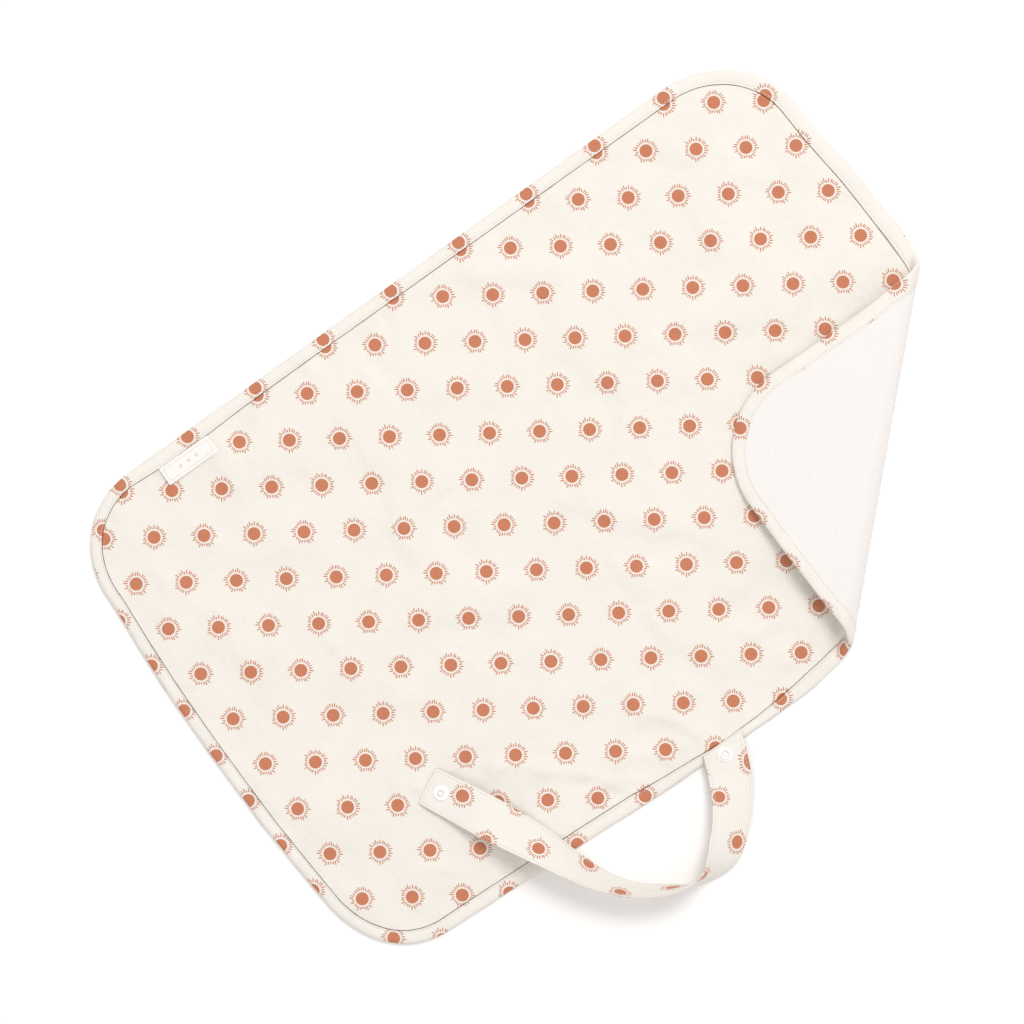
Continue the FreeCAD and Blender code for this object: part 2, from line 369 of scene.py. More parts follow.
def side_bow(places, at):
    """The smoothed outward shift at places along a side."""
    steps = np.arange(-400, 401)
    rough = np.interp(steps, [p[0] for p in places], [p[1] for p in places])
    kernel = np.exp(-((np.arange(-3 * BOW_SOFT, 3 * BOW_SOFT + 1) / BOW_SOFT) ** 2))
    smooth = np.convolve(np.pad(rough, 3 * BOW_SOFT, mode="edge"), kernel / kernel.sum(), "valid")
    return np.interp(at / MM, steps, smooth) * MM


def bowed(points):
    """Flat points with the pad's sides bowed out as they lie."""
    moved = points.copy()
    for side, places, axis in ((1, RIGHT_BOW, 1), (2, STRAP_BOW, 0), (3, LEFT_BOW, 1)):
        depth = -(points[:, :2] - PAD_CORNERS[side]) @ SIDE_NORMALS[side]
        share = smoothstep(1 - depth / BOW_REACH)
        shift = side_bow(places, points[:, axis]) * share
        moved[:, :2] += shift[:, None] * SIDE_NORMALS[side]
    return moved


def even_grid(step):
    """A grid over the pad: its low corner, its counts, its points and its squares."""
    low, high = PAD_CORNERS.min(0), PAD_CORNERS.max(0)
    counts = np.ceil((high - low) / step).astype(int) + 1
    x, y = np.meshgrid(*[low[a] + np.arange(counts[a]) * step for a in (0, 1)], indexing="ij")
    index = np.arange(counts.prod()).reshape(counts)
    corners = [index[:-1, :-1], index[1:, :-1], index[1:, 1:], index[:-1, 1:]]
    return low, counts, np.column_stack([x.ravel(), y.ravel()]), np.stack(corners, -1).reshape(-1, 4)


def binding_places():
    """Each station's binding width share and print shift."""
    table = np.array(BINDING_PLACES)
    anchors = nearest_edge(table[:, :2] * MM)
    order = np.argsort(anchors)
    anchors, table = anchors[order], table[order]
    wrapped = np.concatenate([anchors - len(EDGE), anchors, anchors + len(EDGE)])
    stations = np.arange(len(EDGE))
    return [np.interp(stations, wrapped, np.tile(table[:, k], 3)) for k in (2, 3, 4)]


# ---------------------------------------------------------------- the turned corner


def square_to(axis):
    """The level direction square to a fold's axis, out towards the corner."""
    return np.array([axis[1], -axis[0]])


def flat_turn_line(index):
    """A turn's line in the flat pad: the earlier turns are undone."""
    point, axis, _ = joint_line(TURNS[index])
    for name in reversed(TURNS[:index]):
        pivot, about, travel = joint_line(name)
        tip = swung(np.array([point, point + axis]), pivot, about, np.array([travel, travel]))
        point, axis = tip[0], tip[1] - tip[0]
    return point, axis


TURN_LINES = [flat_turn_line(i) for i in range(len(TURNS))]


def past_turns(points):
    """How far past each turn's line the flat points are."""
    distances = []
    for point, axis in TURN_LINES:
        distances.append((points[:, :2] - point[:2]) @ square_to(axis))
    return np.array(distances)


def turn_corner(points):
    """The flat pad's points as they lie at rest, with the corner turned over."""
    past = past_turns(points)
    gap = np.maximum((past[0] - past[2]) / 2, 2 * MM)
    placed = points.copy()
    for name, distance in zip(TURNS, past):
        pivot, axis, travel = joint_line(name)
        share = smoothstep(distance / (TURN_SPREAD * gap) + 0.5)
        placed = swung(placed, pivot, axis, -travel * share)
    return placed


def carried_over(points):
    """Flat points carried right over with the corner, stiffly."""
    for name in TURNS:
        pivot, axis, travel = joint_line(name)
        points = swung(points, pivot, axis, np.full(len(points), -travel))
    return points


def region_cuts():
    """The upright planes, as (point, normal), that part the pad's pieces."""
    cuts = [((LEFT_BORDER_X, 0), (1, 0)), ((TURN_BORDER_X, 0), (1, 0))]
    for (p, a), (q, b) in zip(TURN_LINES[:-1], TURN_LINES[1:]):
        first, second = square_to(a), square_to(b)
        both = first + second
        level = (p[:2] @ first + q[:2] @ second) / (both @ both)
        cuts.append((tuple(both * level), tuple(both)))
    return cuts


def region_of(points):
    """The index of the region that each flat point is in."""
    regions = np.zeros(len(points), int)
    for point, normal in region_cuts():
        regions += (points[:, :2] - np.array(point)) @ np.array(normal) > 0
    return regions


def region_blend(piece, index):
    """Bakes the region's piece's placement into its mesh; the ends of its fold are worked out but not used.
    """
    if index == 0:
        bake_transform(piece)
    elif index == 1:
        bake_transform(piece)
    else:
        turn = index - 2
        point, axis = TURN_LINES[turn]
        middle = point + axis * FOLD_MIDDLE
        outward = np.array([*square_to(axis), 0])
        gap = (past_turns(middle[None])[0] - past_turns(middle[None])[2]) / 2
        ends = turn_corner(np.array([middle - outward * gap / 2, middle + outward * gap / 2]))
        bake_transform(piece)


# ---------------------------------------------------------------- relief of the flat pad


def pucker(stations, seed):
    """Gathers along the edge's run: sharp little tucks of uneven spacing."""
    run = EDGE_RUN[stations]
    ring = 2 * math.pi * run / EDGE_LENGTH
    circle = np.column_stack([np.cos(ring), np.sin(ring), np.zeros(len(ring))]) * EDGE_LENGTH / 6.283
    fine = noise_at(circle, 7 * MM, seed)
    coarse = noise_at(circle, 23 * MM, seed + 1)
    return fine * (0.55 + 0.8 * np.abs(coarse))


def soft_ridges(points):
    """The height that the long soft folds give to flat points."""
    height = np.zeros(len(points))
    for start, end, width, tall in RIDGES:
        start, end = np.array(start) * MM, np.array(end) * MM
        side = end - start
        length = np.linalg.norm(side)
        along = side / length
        reach = (points[:, :2] - start) @ along / length
        bow = 0.12 * length * np.sin(np.clip(reach, 0, 1) * math.pi)
        across = (points[:, :2] - start) @ np.array([-along[1], along[0]]) - bow
        fade = smoothstep(reach / 0.25 + 0.3) * smoothstep((1 - reach) / 0.25 + 0.3)
        height += tall * MM * fade * np.exp(-((across / (width * MM)) ** 2))
    return height


def seam_gathers(points, inset, stations):
    """Short creases that run in from the seam, at uneven places."""
    rng = np.random.default_rng(11)
    run = EDGE_RUN[stations]
    height = np.zeros(len(points))
    for _ in range(SEAM_CREASES):
        place, lean = rng.uniform(0, EDGE_LENGTH), rng.normal(0, 0.45)
        length, width = rng.uniform(8, 26) * MM, rng.uniform(2.6, 5.0) * MM
        tall = rng.uniform(0.35, 0.95) * MM * rng.choice([1, -0.7])
        depth = np.maximum(inset - BINDING_WIDTH, 0)
        away = (run - place - lean * depth + EDGE_LENGTH / 2) % EDGE_LENGTH - EDGE_LENGTH / 2
        height += tall * np.exp(-((away / width) ** 2)) * smoothstep(1 - depth / length)
    return height


def cloth_swell():
    """A swell of the printed cloth, from letting it puff up over the wadding: a height at plan points."""
    low, counts, plan, squares = even_grid(SWELL_GRID)
    start = 0.8 * MM * noise_at(np.column_stack([plan, np.zeros(len(plan))]), 0.04, 13)
    cloth = new_object("swelling_cloth", new_mesh("swelling_cloth", np.column_stack([plan, start]), squares))
    held = cloth.vertex_groups.new(name="held")
    rim = np.flatnonzero(inset_of(plan) < CLOTH_RIM)
    held.add([int(i) for i in rim], 1.0, "REPLACE")
    settings = cloth.modifiers.new("cloth", "CLOTH").settings
    settings.vertex_group_mass = "held"
    settings.quality = 5
    settings.mass = 0.2
    settings.tension_stiffness = settings.compression_stiffness = 12
    settings.bending_stiffness = 0.3
    settings.use_pressure = True
    settings.uniform_pressure_force = 0.25
    settings.shrink_min = -0.012
    settings.effector_weights.gravity = 0
    for number in range(1, SWELL_FRAMES + 1):
        bpy.context.scene.frame_set(number)
    made = cloth.evaluated_get(bpy.context.evaluated_depsgraph_get())
    heights = positions(made.data)[:, 2].reshape(counts)
    bpy.context.scene.frame_set(1)
    mesh = cloth.data
    bpy.data.objects.remove(cloth)
    bpy.data.meshes.remove(mesh)
    heights = SWELL_CAP * np.tanh((heights - np.median(heights)) / SWELL_CAP)

    def at(places):
        spot = np.clip((places - low) / SWELL_GRID, 0, counts - 1.001)
        cell = spot.astype(int)
        a, b = (spot - cell).T
        i, j = cell.T
        near = heights[i, j] * (1 - a) + heights[i + 1, j] * a
        far = heights[i, j + 1] * (1 - a) + heights[i + 1, j + 1] * a
        return near * (1 - b) + far * b

    return at


def relief(points, inset, stations, swell):
    """Height of the printed face over its flat level."""
    near = np.exp(-np.maximum(inset - 8 * MM, 0) / PULL_REACH)
    height = CROWN * smoothstep((inset - BINDING_WIDTH) / CROWN_REACH)
    height += GATHER_HEIGHT * near * pucker(stations, 3) + seam_gathers(points, inset, stations)
    plan = np.column_stack([points[:, :2], np.zeros(len(points))])
    height += BROAD_WAVE * noise_at(plan, 0.05, 5) * (1 - near)
    height += FINE_WAVE * noise_at(plan, 0.018, 6)
    return height + (soft_ridges(points) + swell) * (1 - 0.8 * near)


# ---------------------------------------------------------------- materials


class Nodes:
    """Short calls for building one material."""

    def __init__(self, name):
        self.material = bpy.data.materials.new(name)
        self.material.use_nodes = True
        self.tree = self.material.node_tree
        self.shader = self.tree.nodes["Principled BSDF"]

    def add(self, kind, *inputs, **settings):
        node = self.tree.nodes.new(kind)
        for key, value in settings.items():
            setattr(node, key, value)
        for socket, value in zip(node.inputs, inputs):
            self.put(socket, value)
        return node

    def put(self, socket, value):
        if value is None:
            return
        if isinstance(value, bpy.types.NodeSocket):
            self.tree.links.new(value, socket)
        else:
            socket.default_value = value

    def math(self, operation, *inputs, clamp=False):
        node = self.add("ShaderNodeMath", *inputs, operation=operation, use_clamp=clamp)
        return node.outputs[0]

    def vector(self, operation, *inputs):
        return self.add("ShaderNodeVectorMath", *inputs, operation=operation).outputs[0]

    def mix(self, share, first, second):
        node = self.add("ShaderNodeMix", data_type="RGBA")
        for index, value in ((0, share), (6, first), (7, second)):
            if isinstance(value, tuple) and len(value) == 3:
                value = (*value, 1)
            self.put(node.inputs[index], value)
        return node.outputs[2]

    def noise(self, vector, scale, detail=3.0):
        node = self.add("ShaderNodeTexNoise")
        self.put(node.inputs["Vector"], vector)
        node.inputs["Scale"].default_value = scale
        node.inputs["Detail"].default_value = detail
        return node.outputs["Fac"]

    def place(self, name):
        """A stored place on the flat cloth, in millimetres."""
        stored = self.add("ShaderNodeAttribute", attribute_name=name).outputs["Vector"]
        return self.vector("MULTIPLY", stored, (1000, 1000, 1000))

    def bump(self, height, strength, distance, normal=None):
        node = self.add("ShaderNodeBump")
        node.inputs["Strength"].default_value = strength
        node.inputs["Distance"].default_value = distance
        self.put(node.inputs["Height"], height)
        if normal is not None:
            self.put(node.inputs["Normal"], normal)
        return node.outputs["Normal"]

    def soft_edge(self, value, limit, blur):
        """1 below the limit, 0 above it."""
        rise = self.add("ShaderNodeMapRange", value, limit - blur, limit + blur, 1.0, 0.0)
        return rise.outputs[0]

    def set(self, **values):
        for key, value in values.items():
            self.put(self.shader.inputs[key.replace("_", " ")], value)


def sun_masks(nodes, place, offset, turn):
    """The discs and the rays of one lattice of suns, as two masks."""
    moved = nodes.vector("SUBTRACT", place, (offset[0], offset[1], 0))
    half = (PRINT_CELL[0] / 2, PRINT_CELL[1] / 2, 1)
    local = nodes.vector("WRAP", moved, half, tuple(-h for h in half))
    parts = nodes.add("ShaderNodeSeparateXYZ", local).outputs
    squares = [nodes.math("POWER", parts[axis], 2.0) for axis in (0, 1)]
    radius = nodes.math("SQRT", nodes.math("ADD", *squares))
    disc = nodes.soft_edge(radius, SUN_DISC, 0.2)
    angle = nodes.math("ARCTAN2", parts[1], parts[0])
    steps = nodes.math("MULTIPLY_ADD", angle, SUN_RAYS / math.tau, turn)
    index = nodes.math("FLOOR", steps)
    chance = nodes.add("ShaderNodeTexWhiteNoise", noise_dimensions="1D")
    nodes.put(chance.inputs["W"], nodes.math("ADD", index, turn))
    odds = nodes.add("ShaderNodeSeparateColor", chance.outputs["Color"]).outputs
    length = nodes.math("MULTIPLY_ADD", chance.outputs["Value"], 1.6, SUN_TIP - 2.1 - SUN_RING)
    start = nodes.math("MULTIPLY_ADD", odds[0], 0.6, SUN_RING)
    climb = nodes.math("DIVIDE", nodes.math("SUBTRACT", radius, start), length)
    lean = nodes.math("MULTIPLY", nodes.math("SUBTRACT", odds[1], 0.5), climb)
    middle = nodes.math("MULTIPLY_ADD", lean, 0.55, 0.5)
    aside = nodes.math("ABSOLUTE", nodes.math("SUBTRACT", nodes.math("FRACT", steps), middle))
    off_line = nodes.math("MULTIPLY", aside, nodes.math("MULTIPLY", radius, math.tau / SUN_RAYS))
    half_width = nodes.math("MULTIPLY_ADD", climb, -0.14, 0.57)
    thin = nodes.math("DIVIDE", off_line, half_width)
    stroke = nodes.soft_edge(thin, 0.95, 0.25)
    above = nodes.math("SUBTRACT", 1.0, nodes.soft_edge(climb, 0.0, 0.05))
    below = nodes.soft_edge(climb, 0.92, 0.08)
    rays = nodes.math("MULTIPLY", stroke, nodes.math("MULTIPLY", above, below))
    return disc, rays


def sun_print(nodes, base):
    """Cloth colour with the suns printed on it."""
    place = nodes.place("print")
    first = sun_masks(nodes, place, (0, 0), 0.2)
    second = sun_masks(nodes, place, (PRINT_CELL[0] / 2, PRINT_CELL[1] / 2), 7.7)
    disc = nodes.math("ADD", first[0], second[0], clamp=True)
    rays = nodes.math("ADD", first[1], second[1], clamp=True)
    worn = nodes.noise(place, 0.9, 4.0)
    ink = nodes.mix(worn, tuple(c * 0.9 for c in TERRACOTTA), tuple(c * 1.12 for c in TERRACOTTA))
    colour = nodes.mix(nodes.math("MULTIPLY", rays, 0.92), base, ink)
    return nodes.mix(disc, colour, ink)


def weave_height(nodes, place, pitch):
    """Plain weave: threads that pass over and under each other."""
    parts = nodes.add("ShaderNodeSeparateXYZ", place).outputs
    warp = nodes.math("SINE", nodes.math("MULTIPLY", parts[0], math.tau / pitch))
    weft = nodes.math("SINE", nodes.math("MULTIPLY", parts[1], math.tau / pitch))
    return nodes.math("MULTIPLY", warp, weft)


def cloth_material(name, base, mottle=0.035):
    nodes = Nodes(name)
    place = nodes.place("flat")
    shade = nodes.noise(place, 0.035, 4.0)
    tinted = nodes.mix(shade, tuple(c * (1 - mottle) for c in base), tuple(c * (1 + mottle) for c in base))
    colour = sun_print(nodes, tinted)
    weave = weave_height(nodes, place, 0.62)
    slub = nodes.noise(place, 0.7, 3.0)
    drape = nodes.noise(place, 0.11, 3.0)
    normal = nodes.bump(drape, 0.35, 0.003)
    normal = nodes.bump(slub, 0.4, 0.0007, normal)
    normal = nodes.bump(weave, 0.16, 0.00025, normal)
    rough = nodes.math("MULTIPLY_ADD", slub, 0.16, 0.62)
    nodes.set(Base_Color=colour, Roughness=rough, Normal=normal, Sheen_Weight=0.12, Sheen_Roughness=0.4)
    nodes.set(Specular_IOR_Level=0.3)
    return nodes.material


def fleece_material():
    nodes = Nodes("fleece")
    place = nodes.place("flat")
    tuft = nodes.noise(place, 0.8, 5.0)
    lie = nodes.noise(place, 0.05, 3.0)
    pale = tuple(min(1, c * 1.02) for c in FLEECE_WHITE)
    dark = tuple(c * 0.93 for c in FLEECE_WHITE)
    colour = nodes.mix(nodes.math("MULTIPLY_ADD", tuft, 0.8, nodes.math("MULTIPLY", lie, 0.3)), dark, pale)
    normal = nodes.bump(tuft, 0.5, 0.0012)
    nodes.set(Base_Color=colour, Roughness=0.95, Normal=normal, Sheen_Weight=0.35, Sheen_Roughness=0.5)
    nodes.set(Specular_IOR_Level=0.15)
    return nodes.material


def thread_material():
    nodes = Nodes("thread")
    place = nodes.add("ShaderNodeTexCoord").outputs["Object"]
    twist = nodes.noise(nodes.vector("MULTIPLY", place, (1000, 1000, 1000)), 3.0, 2.0)
    colour = nodes.mix(twist, tuple(c * 0.9 for c in THREAD_WHITE), THREAD_WHITE)
    nodes.set(Base_Color=colour, Roughness=0.55, Normal=nodes.bump(twist, 0.4, 0.0002))
    nodes.set(Sheen_Weight=0.1)
    return nodes.material


def resin_material():
    nodes = Nodes("snap_resin")
    place = nodes.add("ShaderNodeTexCoord").outputs["Object"]
    grain = nodes.noise(nodes.vector("MULTIPLY", place, (1000, 1000, 1000)), 1.4, 2.0)
    colour = nodes.mix(grain, tuple(c * 0.98 for c in SNAP_WHITE), SNAP_WHITE)
    rough = nodes.math("MULTIPLY_ADD", grain, 0.1, 0.16)
    nodes.set(Base_Color=colour, Roughness=rough, Coat_Weight=0.4, Coat_Roughness=0.08)
    nodes.set(Subsurface_Weight=0.1, Subsurface_Radius=(0.002, 0.002, 0.0018))
    nodes.set(Normal=nodes.bump(grain, 0.05, 0.0002))
    return nodes.material


# ---------------------------------------------------------------- building the pad's layers

PARTS = {}


def store(mesh, name, values):
    stored = mesh.attributes.new(name, "FLOAT_VECTOR", "POINT")
    stored.data.foreach_set("vector", values.astype(np.float32).ravel())


def print_place(flat):
    """Where flat cloth lies on the print's even lattice."""
    even = np.array([[PRINT_CELL[0], PRINT_CELL[0] / 2], [0, -PRINT_CELL[1] / 2]])
    skew = even @ np.linalg.inv(PRINT_STEPS)
    placed = np.zeros_like(flat)
    placed[:, :2] = (flat[:, :2] - PRINT_ORIGIN) @ skew.T
    return placed


def binding_print_place(flat):
    """The binding's own print: shifted on its top, carried over with the corner underneath."""
    stations = nearest_edge(flat[:, :2])
    shift = np.column_stack(binding_places()[1:])[stations] * MM
    placed = flat.copy()
    placed[:, :2] -= shift
    under = flat[:, 2] < BINDING_UNDER
    placed[under] = carried_over(flat[under])
    placed[under, :2] -= np.array(UNDER_PRINT_SHIFT) * MM
    return print_place(placed)


def submesh(name, points, flat, printed, normals, faces):
    """A mesh of some of the faces, that keeps the whole's normals."""
    used = np.unique(np.concatenate([np.asarray(f) for f in faces]))
    place = np.full(len(points), -1)
    place[used] = np.arange(len(used))
    mesh = new_mesh(name, points[used], [place[np.asarray(f)] for f in faces])
    mesh.shade_smooth()
    store(mesh, "flat", flat[used])
    store(mesh, "print", printed[used])
    mesh.normals_split_custom_set_from_vertices([tuple(n) for n in normals[used]])
    return mesh


def vertex_normals(points, faces):
    """Area-weighted normals of a mesh whose faces have up to six corners."""
    normals = np.zeros_like(points)
    for size in (3, 4, 5, 6):
        some = np.array([f for f in faces if len(f) == size])
        if not len(some):
            continue
        first, second, third, last = (points[some[:, k]] for k in (0, 1, 2, -1))
        if size == 3:
            across = np.cross(second - first, third - first)
        else:
            across = np.cross(third - first, last - second)
        for corner in range(size):
            np.add.at(normals, some[:, corner], across)
    return normals / np.maximum(np.linalg.norm(normals, axis=1), 1e-12)[:, None]


def cut_at_borders(points, faces):
    """The flat mesh with an edge along every border between regions."""
    mesh = bmesh.new()
    for point in points:
        mesh.verts.new(point)
    mesh.verts.ensure_lookup_table()
    for face in faces:
        mesh.faces.new([mesh.verts[int(i)] for i in face])
    for point, normal in region_cuts():
        geometry = mesh.verts[:] + mesh.edges[:] + mesh.faces[:]
        bmesh.ops.bisect_plane(
            mesh, geom=geometry, dist=1e-7, plane_co=(*point, 0), plane_no=(*normal, 0)
        )
    mesh.verts.ensure_lookup_table()
    mesh.verts.index_update()
    points = np.array([v.co for v in mesh.verts])
    faces = [[v.index for v in f.verts] for f in mesh.faces]
    mesh.free()
    return points, faces


def lay_layer(layer, points, faces, material, cut=True):
    """Turns the flat layer's corner over and makes its pieces, one for each region."""
    if cut:
        points, faces = cut_at_borders(points, faces)
    placed = turn_corner(points)
    normals = vertex_normals(placed, faces)
    printed = binding_print_place(points) if layer == "binding" else print_place(points)
    middles = np.array([points[f].mean(0) for f in faces]) if cut else stitch_middles(points, faces)
    regions = region_of(middles)
    for index, region in enumerate(REGIONS):
        chosen = [f for f, r in zip(faces, regions) if r == index]
        if not chosen:
            continue
        name = layer + "_" + region
        mesh = submesh(name, placed, points, printed, normals, chosen)
        mesh.materials.append(material)
        piece = new_object(name, mesh)
        region_blend(piece, index)
        PARTS[name] = piece


def stitch_middles(points, faces):
    """For each face, the middle of its stitch, so that no stitch is cut in two."""
    middles = np.array([points[f].mean(0) for f in faces])
    for start in range(0, len(middles), STITCH_FACES):
        middles[start : start + STITCH_FACES] = middles[start : start + STITCH_FACES].mean(0)
    return middles


def cloth_grid(step):
    """A grid of squares over the pad, its rim moved to an even line under the binding."""
    _, _, points, squares = even_grid(step)
    inset = inset_of(points) - CLOTH_RIM * (binding_places()[0][nearest_edge(points)] - 1)
    squares = squares[(inset[squares] > CLOTH_RIM - step * 0.5).all(1)]
    used, squares = np.unique(squares, return_inverse=True)
    points, squares = points[used], squares.reshape(-1, 4)
    count = np.bincount(squares.ravel(), minlength=len(points))
    rim = count < 4
    stations = nearest_edge(points[rim])
    width = binding_places()[0][stations]
    points[rim] = EDGE[stations] - EDGE_OUT[stations] * (CLOTH_RIM * width)[:, None]
    return points, squares


def seam_strip(squares, insets, count, edge_stations):
    """Quads that carry the cloth's rim out in rings, each at its inset."""
    sides = np.concatenate([squares[:, [i, (i + 1) % 4]] for i in range(4)])
    keys = np.sort(sides, axis=1)
    _, first, uses = np.unique(keys, axis=0, return_index=True, return_counts=True)
    open_sides = sides[first[uses == 1]]
    rim = np.unique(open_sides)
    place = np.full(count, -1)
    place[rim] = np.arange(len(rim))
    stations = edge_stations[rim]
    rings = [rim] + [count + k * len(rim) + np.arange(len(rim)) for k in range(len(insets))]
    width = binding_places()[0][stations]
    plans = [EDGE[stations] - EDGE_OUT[stations] * (inset * width)[:, None] for inset in insets]
    quads = [
        [outer[place[a]], outer[place[b]], inner[place[b]], inner[place[a]]]
        for inner, outer in zip(rings[:-1], rings[1:])
        for a, b in open_sides
    ]
    return np.concatenate(plans), np.array(quads), stations


def printed_face(swell_at):
    plan, squares = cloth_grid(FACE_GRID)
    inset = inset_of(plan)
    stations = nearest_edge(plan)
    rise = relief(plan, inset, stations, swell_at(plan))
    rim, strip, rim_stations = seam_strip(squares, SEAM_DIP[:, 0], len(plan), stations)
    rim_rise = 0.5 * MM * pucker(rim_stations, 3)
    heights = [rim_rise * max(0, 1 - dip / (2 * MM)) - dip for dip in SEAM_DIP[:, 1]]
    face = np.column_stack([np.vstack([plan, rim]), FACE_HEIGHT + np.concatenate([rise, *heights])])
    lay_layer("printed_face", bowed(face), np.vstack([squares, strip]), PRINTED)


def fleece_back():
    plan, squares = cloth_grid(BACK_GRID)
    rim, strip, _ = seam_strip(squares, SEAM_DIP[-1:, 0], len(plan), nearest_edge(plan))
    whole = np.vstack([plan, rim])
    level = np.column_stack([whole, np.zeros(len(whole))])
    sag = 0.25 * MM + 0.22 * MM * np.abs(noise_at(level, 0.03, 9)) + 0.1 * MM * noise_at(level, 0.006, 10)
    back = np.column_stack([whole, sag])
    lay_layer("fleece_back", bowed(back), np.vstack([squares, strip])[:, ::-1], FLEECE)


def binding_points():
    """The binding's rings: one for each point of its profile, round the whole edge."""
    count = len(EDGE)
    stations = np.arange(count)
    ripple = pucker(stations, 3)
    wander = pucker(stations, 21)
    width = binding_places()[0]
    rings = []
    for inset, height in BINDING_PROFILE:
        top = height > BINDING_MIDDLE
        middle = math.sin(math.pi * min(1, inset / BINDING_WIDTH)) if inset < 9 * MM else 0.25
        fold = pucker(stations, 31 + len(rings))
        lift = (ripple * GATHER_LIFT + fold * LENGTHWISE_FOLD) * MM * middle
        across = inset * width + wander * BINDING_WANDER * (inset / BINDING_WIDTH)
        plan = EDGE - EDGE_OUT * across[:, None]
        level = np.maximum(height + (lift if top else np.abs(lift)), 0.02 * MM)
        rings.append(np.column_stack([plan, level]))
    return np.array(rings)


def ring_quads(rows, count):
    """Quads between rings of points, one after the other."""
    faces = []
    for start in range(0, (rows - 1) * count, count):
        for i in range(count):
            j = (i + 1) % count
            faces.append([start + i, start + count + i, start + count + j, start + j])
    return faces


def binding():
    rings = binding_points()
    faces = ring_quads(*rings.shape[:2])
    lay_layer("binding", bowed(rings.reshape(-1, 3)), faces, BINDING)


def stitch_shape():
    """One stitch lying along +X: a thread that dips into the cloth at both ends."""
    points, faces = [], []
    for ring in range(STITCH_RINGS):
        share = ring / (STITCH_RINGS - 1) * 2 - 1
        fat = math.sqrt(max(0.05, 1 - share**4))
        for side in range(STITCH_SIDES):
            turn = math.tau * side / STITCH_SIDES
            rise = STITCH_RISE * (0.55 - 0.75 * share**2)
            across = STITCH_WIDTH / 2 * fat * math.cos(turn)
            points.append((share * STITCH_LENGTH / 2, across, rise + STITCH_WIDTH / 2 * fat * math.sin(turn)))
    for ring in range(STITCH_RINGS - 1):
        for side in range(STITCH_SIDES):
            after = (side + 1) % STITCH_SIDES
            first, second = ring * STITCH_SIDES, (ring + 1) * STITCH_SIDES
            faces.append([first + side, second + side, second + after, first + after])
    return np.array(points), np.array(faces)


def stitch_row(centres, alongs, ups):
    """Copies of the stitch at each centre."""
    shape, faces = stitch_shape()
    sides = np.cross(ups, alongs)
    placed = [
        centre + shape[:, :1] * along + shape[:, 1:2] * side + shape[:, 2:] * up
        for centre, along, side, up in zip(centres, alongs, sides, ups)
    ]
    joined = np.concatenate([faces + i * len(shape) for i in range(len(placed))])
    return np.concatenate(placed), joined


def topstitching():
    """The rows of stitches on the binding's top and underside."""
    count = round(EDGE_LENGTH / STITCH_PITCH)
    run = (np.arange(count) + 0.5) * EDGE_LENGTH / count
    stations = run / EDGE_LENGTH * len(EDGE)
    low = stations.astype(int) % len(EDGE)
    share = (stations - stations.astype(int))[:, None]
    high = (low + 1) % len(EDGE)
    rings = binding_points()
    valley = [i for i, (inset, _) in enumerate(BINDING_PROFILE) if abs(inset - STITCH_INSET) < 1e-6]
    points, faces = [], []
    for row, sign in zip(valley, (1, -1)):
        ring = rings[row]
        centres = ring[low] * (1 - share) + ring[high] * share
        alongs = ring[high] - ring[low]
        alongs /= np.linalg.norm(alongs, axis=1)[:, None]
        wobble = noise_at(centres, 0.004, 31 + row)[:, None] * 0.12 * MM
        centres[:, :2] += wobble * EDGE_OUT[low]
        ups = np.tile([0.0, 0.0, sign], (count, 1))
        made, joined = stitch_row(centres, alongs, ups)
        faces.append(joined + sum(len(p) for p in points))
        points.append(made)
    points = bowed(np.concatenate(points))
    lay_layer("topstitching", points, np.concatenate(faces), THREAD, cut=False)


# ---------------------------------------------------------------- strap


def strap_joint_names():
    return ["strap_straighten"] + [f"strap_straighten_{i}" for i in range(2, len(STRAP_ROLLS) + 1)]


def strap_route():
    """The middle of the strap at each bend and at its tip."""
    return np.array([joint_line(name)[0] for name in strap_joint_names()] + [STRAP_TIP])


def strap_frames():
    """For each run its start along the strap, its start point and its turn; and the whole length."""
    route = strap_route()
    frames, run = [], 0.0
    for start, end, roll in zip(route[:-1], route[1:], STRAP_ROLLS):
        length = np.linalg.norm(end - start)
        along = (end - start) / length
        level = np.cross(along, (0, 0, 1))
        level /= np.linalg.norm(level)
        rise = np.cross(level, along)
        turn = math.radians(roll)
        inner = level * math.cos(turn) + rise * math.sin(turn)
        frames.append((run, start, Matrix(np.column_stack([along, -inner, np.cross(inner, along)]))))
        run += length
    return frames, run


STRAP_FRAMES, STRAP_LENGTH = strap_frames()
STRAP_STARTS = [run[0] for run in STRAP_FRAMES] + [STRAP_LENGTH]


def lay_strap(points):
    """Points on the straight strap (along, across, out of its top) where the strap lies at rest."""
    middles = [(a + b) / 2 for a, b in zip(STRAP_STARTS[:-1], STRAP_STARTS[1:])]
    sheared = points.copy()
    fade = 1 - smoothstep(points[:, 0] / STRAP_SKEW_REACH)
    sheared[:, 0] += points[:, 1] * STRAP_SKEW * fade
    placed = np.empty_like(points)
    for i, point in enumerate(sheared):
        bend = int(np.searchsorted(middles, point[0]))
        if 0 < bend < len(STRAP_FRAMES):
            before, after = STRAP_FRAMES[bend - 1 : bend + 1]
            share = (point[0] - middles[bend - 1]) / (middles[bend] - middles[bend - 1])
            corner = Vector(after[1])
            entry = Vector(before[1]) + before[2].col[0] * (middles[bend - 1] - before[0])
            leave = corner + after[2].col[0] * (middles[bend] - after[0])
            middle = entry * (1 - share) ** 2 + corner * 2 * share * (1 - share) + leave * share**2
            spin = before[2].to_quaternion().slerp(after[2].to_quaternion(), share)
            placed[i] = middle + spin @ Vector((0, point[1], point[2]))
        else:
            start, base, spin = STRAP_FRAMES[min(bend, len(STRAP_FRAMES) - 1)]
            placed[i] = Vector(base) + spin @ Vector((point[0] - start, point[1], point[2]))
    return placed


